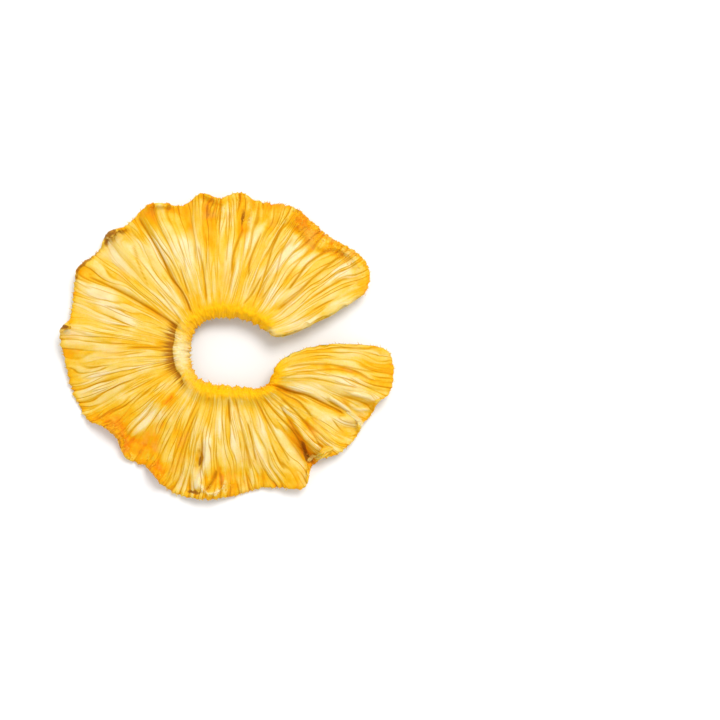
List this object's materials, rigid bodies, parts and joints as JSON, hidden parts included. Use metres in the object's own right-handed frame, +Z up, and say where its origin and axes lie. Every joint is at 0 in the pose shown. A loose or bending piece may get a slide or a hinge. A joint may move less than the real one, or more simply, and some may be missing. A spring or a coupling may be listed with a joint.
{
  "type": "dried pineapple ring",
  "caption": "Dried pineapple ring: a thin pleated slice of fruit around a core hole, torn open along one side.",
  "frame": {"origin": "centre of the ring's outline in plan, at the height of the table it lies on", "axes": "+X towards the side that is torn open, +Z up out of the table, with the raised collar around the core hole on top"},
  "size_m": [0.0856, 0.0792, 0.0095],
  "materials": {
    "flesh": "dry fibrous fruit flesh, leathery, slightly sticky sheen"
  },
  "bodies": {
    "root": {"ring": "flesh"}
  },
  "joints": []
}
